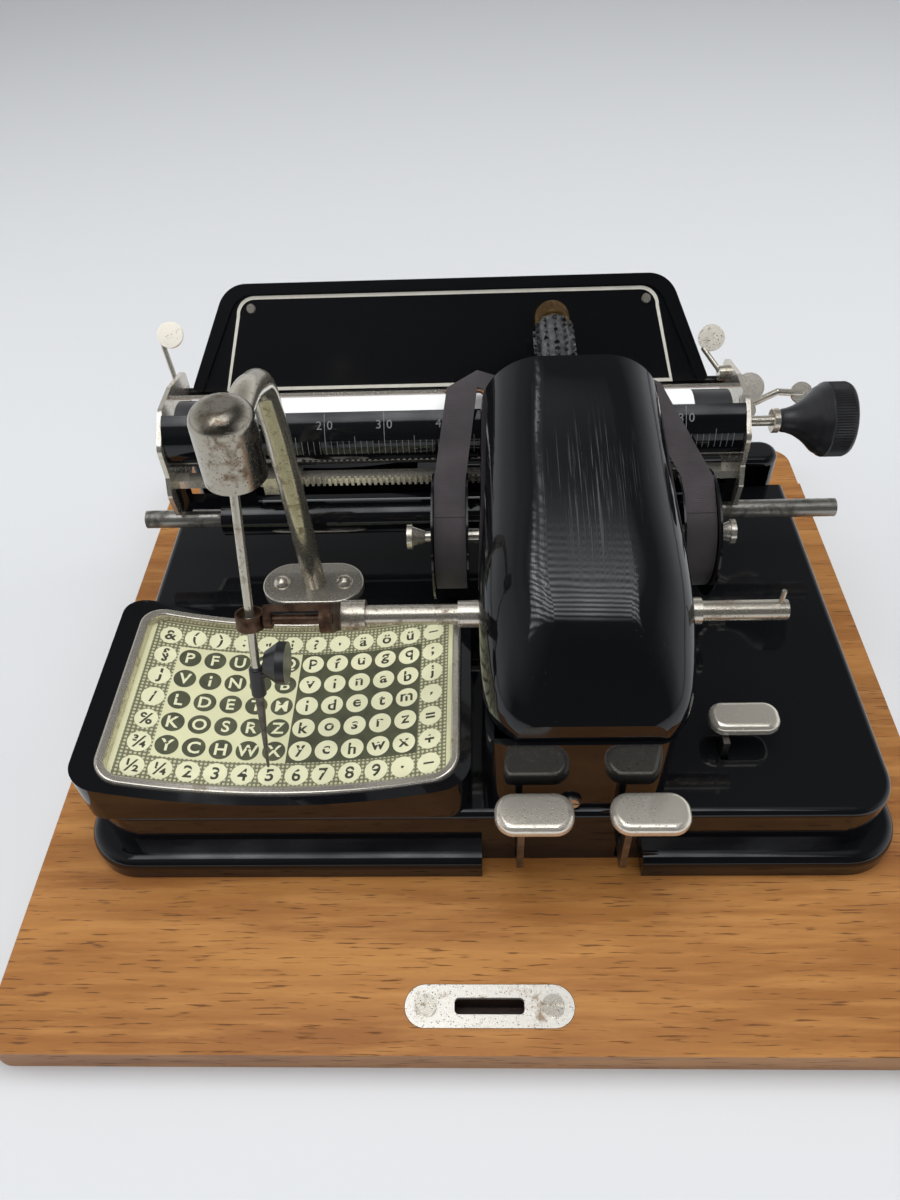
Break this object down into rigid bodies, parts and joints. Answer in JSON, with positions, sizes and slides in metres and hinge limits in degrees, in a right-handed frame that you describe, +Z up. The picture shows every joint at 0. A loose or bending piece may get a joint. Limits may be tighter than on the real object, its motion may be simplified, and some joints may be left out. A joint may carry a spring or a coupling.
{
  "type": "index typewriter",
  "caption": "Index typewriter on an oak board: a pointer over a letter chart, a hooded type cylinder, a sliding carriage with platen, ribbon spools and push keys.",
  "frame": {"origin": "centre of the board's underside", "axes": "+X to the typist's right, +Y away from the typist, +Z up"},
  "size_m": [0.361, 0.336, 0.1948],
  "materials": {
    "oak": "oiled oak",
    "black_lacquer": "gloss black lacquer",
    "worn_nickel": "worn nickel plate",
    "dark_steel": "dull steel",
    "rusty_steel": "browned steel",
    "card": "printed card under varnish",
    "black_rubber": "hard rubber",
    "bakelite": "moulded, ribbed",
    "brown_brass": "tarnished brass",
    "ribbon_cloth": "inked ribbon",
    "paper": "plain paper",
    "copper_wire": "bent wire"
  },
  "bodies": {
    "frame": {"oak_board": "oak", "latch_plate": "worn_nickel", "frame_screws": "worn_nickel", "base_casting": "black_lacquer", "key_axle": "dark_steel", "index_card": "card", "card_rim": "worn_nickel", "tower_block": "black_lacquer", "gooseneck_flange": "worn_nickel", "gooseneck_tube": "worn_nickel", "pointer_dome": "worn_nickel", "shaft_bushes": "worn_nickel", "hood": "black_lacquer", "carriage_rail": "worn_nickel", "spool_spindles": "worn_nickel", "ribbon_guides": "copper_wire", "ribbon": "ribbon_cloth"},
    "swivel_ring": {"swivel_ring": "dark_steel"},
    "swivel_ball": {"swivel_ball": "dark_steel"},
    "pointer": {"pointer_rod": "worn_nickel", "pointer_button": "bakelite", "pointer_tip": "dark_steel"},
    "key_sleeve": {"key_sleeve": "dark_steel"},
    "selector": {"selector_shaft": "worn_nickel", "crank_yoke": "rusty_steel"},
    "eye_cup": {"eye_cup": "rusty_steel"},
    "type_arm": {"type_arm": "dark_steel"},
    "shift_wheel": {"shift_wheel": "dark_steel"},
    "lay_shaft": {"lay_shaft": "dark_steel"},
    "type_pinion": {"type_pinion": "dark_steel"},
    "type_cylinder": {"type_spindle": "dark_steel", "type_sleeve": "dark_steel", "type_knob": "brown_brass"},
    "shift_slide": {"shift_slide": "dark_steel"},
    "print_key": {"print_lever": "dark_steel", "print_key": "worn_nickel"},
    "space_key": {"space_lever": "dark_steel", "space_key": "worn_nickel"},
    "back_key": {"back_lever": "dark_steel", "back_key": "worn_nickel"},
    "carriage": {"carriage_sleeve": "black_lacquer", "left_side_plate": "worn_nickel", "right_side_plate": "worn_nickel", "rack_bar": "worn_nickel", "scale_plate": "black_lacquer", "paper_table": "black_lacquer", "paper_bail": "worn_nickel", "paper_sheet": "paper"},
    "margin_stop": {"margin_stop": "worn_nickel"},
    "platen": {"platen": "black_rubber", "platen_axle": "worn_nickel", "platen_knob": "bakelite"},
    "feed_roller": {"feed_roller": "black_rubber"},
    "line_lever": {"line_lever": "worn_nickel"},
    "release_lever": {"release_lever": "worn_nickel"},
    "left_paper_arm": {"left_paper_arm": "worn_nickel"},
    "right_paper_arm": {"right_paper_arm": "worn_nickel"},
    "left_spool": {"left_spool": "black_lacquer"},
    "right_spool": {"right_spool": "black_lacquer"}
  },
  "joints": [
    {"name": "pointer_side", "type": "hinge", "parent": "frame", "child": "swivel_ring", "pos_m": [-0.0782, -0.042, 0.1793], "axis": [0, -1, 0], "range_deg": [-22.9, 20.6]},
    {"name": "pointer_fore", "type": "hinge", "parent": "swivel_ring", "child": "swivel_ball", "pos_m": [-0.0782, -0.042, 0.1793], "axis": [1, 0, 0], "range_deg": [0, 26.9]},
    {"name": "pointer_reach", "type": "slide", "parent": "swivel_ball", "child": "pointer", "axis": [0.0382, 0.2775, 0.96], "range_m": [0, 0.00188]},
    {"name": "selector_spin", "type": "hinge", "parent": "frame", "child": "key_sleeve", "pos_m": [0, -0.0441, 0.1033], "axis": [-1, 0, 0], "range_deg": [0, 85.3]},
    {"name": "selector_slide", "type": "slide", "parent": "key_sleeve", "child": "selector", "axis": [1, 0, 0], "range_m": [-0.02533, 0.02279]},
    {"name": "cup_spin", "type": "hinge", "parent": "selector", "child": "eye_cup", "pos_m": [-0.0806, -0.05951, 0.11872], "axis": [1, 0, 0], "range_deg": [0, 112.2]},
    {"name": "arm_strike", "type": "hinge", "parent": "frame", "child": "type_arm", "pos_m": [0, -0.0441, 0.1033], "axis": [-1, 0, 0], "range_deg": [0, 4]},
    {"name": "shift_turn", "type": "hinge", "parent": "type_arm", "child": "shift_wheel", "pos_m": [0, -0.0441, 0.1033], "axis": [-1, 0, 0], "range_deg": [0, 85.3]},
    {"name": "shift_travel", "type": "slide", "parent": "type_arm", "child": "shift_slide", "axis": [0, -0.9976, -0.0698], "range_m": [0, 0.02391]},
    {"name": "lay_spin", "type": "hinge", "parent": "type_arm", "child": "lay_shaft", "pos_m": [0.0315, -0.04512, 0.11786], "axis": [0, -0.9976, -0.0698], "range_deg": [-127.4, 114.6]},
    {"name": "pinion_spin", "type": "hinge", "parent": "type_arm", "child": "type_pinion", "pos_m": [0.0315, -0.04632, 0.13502], "axis": [0, 0.9976, 0.0698], "range_deg": [-142.4, 128.1]},
    {"name": "cylinder_slide", "type": "slide", "parent": "type_pinion", "child": "type_cylinder", "axis": [0, -0.9976, -0.0698], "range_m": [0, 0.02391]},
    {"name": "print_press", "type": "hinge", "parent": "frame", "child": "print_key", "pos_m": [0, 0.025, 0.0273], "axis": [1, 0, 0], "range_deg": [0, 2.8], "stiffness_Nm_per_rad": 1.2, "springref_deg": -14.32},
    {"name": "space_press", "type": "hinge", "parent": "frame", "child": "space_key", "pos_m": [0, 0.025, 0.0273], "axis": [1, 0, 0], "range_deg": [0, 2.8], "stiffness_Nm_per_rad": 1.2, "springref_deg": -14.32},
    {"name": "back_press", "type": "hinge", "parent": "frame", "child": "back_key", "pos_m": [0, 0.025, 0.0273], "axis": [1, 0, 0], "range_deg": [0, 2.8], "stiffness_Nm_per_rad": 1.2, "springref_deg": -14.32},
    {"name": "carriage_travel", "type": "slide", "parent": "frame", "child": "carriage", "axis": [1, 0, 0], "range_m": [-0.062, 0.15]},
    {"name": "margin_slide", "type": "slide", "parent": "carriage", "child": "margin_stop", "axis": [1, 0, 0], "range_m": [-0.004, 0.149]},
    {"name": "platen_turn", "type": "hinge", "parent": "carriage", "child": "platen", "pos_m": [0, 0.06, 0.1113], "axis": [1, 0, 0], "continuous": true},
    {"name": "feed_spin", "type": "hinge", "parent": "carriage", "child": "feed_roller", "pos_m": [0, 0.067, 0.09321], "axis": [1, 0, 0], "continuous": true},
    {"name": "line_pull", "type": "hinge", "parent": "carriage", "child": "line_lever", "pos_m": [0.113, 0.086, 0.0963], "axis": [1, 0, 0], "range_deg": [-12, 12]},
    {"name": "release_pull", "type": "hinge", "parent": "carriage", "child": "release_lever", "pos_m": [0.113, 0.072, 0.0993], "axis": [1, 0, 0], "range_deg": [-8, 14]},
    {"name": "left_arm_swing", "type": "hinge", "parent": "carriage", "child": "left_paper_arm", "pos_m": [-0.139, 0.091, 0.1158], "axis": [1, 0, 0], "range_deg": [-15, 30]},
    {"name": "right_arm_swing", "type": "hinge", "parent": "carriage", "child": "right_paper_arm", "pos_m": [0.109, 0.091, 0.1158], "axis": [1, 0, 0], "range_deg": [-4, 30]},
    {"name": "left_spool_turn", "type": "hinge", "parent": "frame", "child": "left_spool", "pos_m": [0, 0.0134, 0.0893], "axis": [1, 0, 0], "continuous": true},
    {"name": "right_spool_turn", "type": "hinge", "parent": "frame", "child": "right_spool", "pos_m": [0, 0.0134, 0.0893], "axis": [1, 0, 0], "continuous": true}
  ],
  "couplings": [
    {"joint": "pointer_reach", "follows": "pointer_fore", "m_per_rad": 0.004},
    {"joint": "selector_spin", "follows": "pointer_fore", "ratio": 3.17},
    {"joint": "cup_spin", "follows": "pointer_fore", "ratio": 4.17},
    {"joint": "shift_turn", "follows": "pointer_fore", "ratio": 3.17},
    {"joint": "shift_travel", "follows": "pointer_fore", "m_per_rad": 0.05091},
    {"joint": "cylinder_slide", "follows": "pointer_fore", "m_per_rad": 0.05091},
    {"joint": "selector_slide", "follows": "pointer_side", "m_per_rad": 0.06337},
    {"joint": "lay_spin", "follows": "pointer_side", "ratio": 5.5588},
    {"joint": "pinion_spin", "follows": "pointer_side", "ratio": 6.2128},
    {"joint": "arm_strike", "follows": "print_press", "ratio": 1.4286},
    {"joint": "feed_spin", "follows": "platen_turn", "ratio": -2.8},
    {"joint": "right_spool_turn", "follows": "left_spool_turn", "ratio": 1}
  ]
}
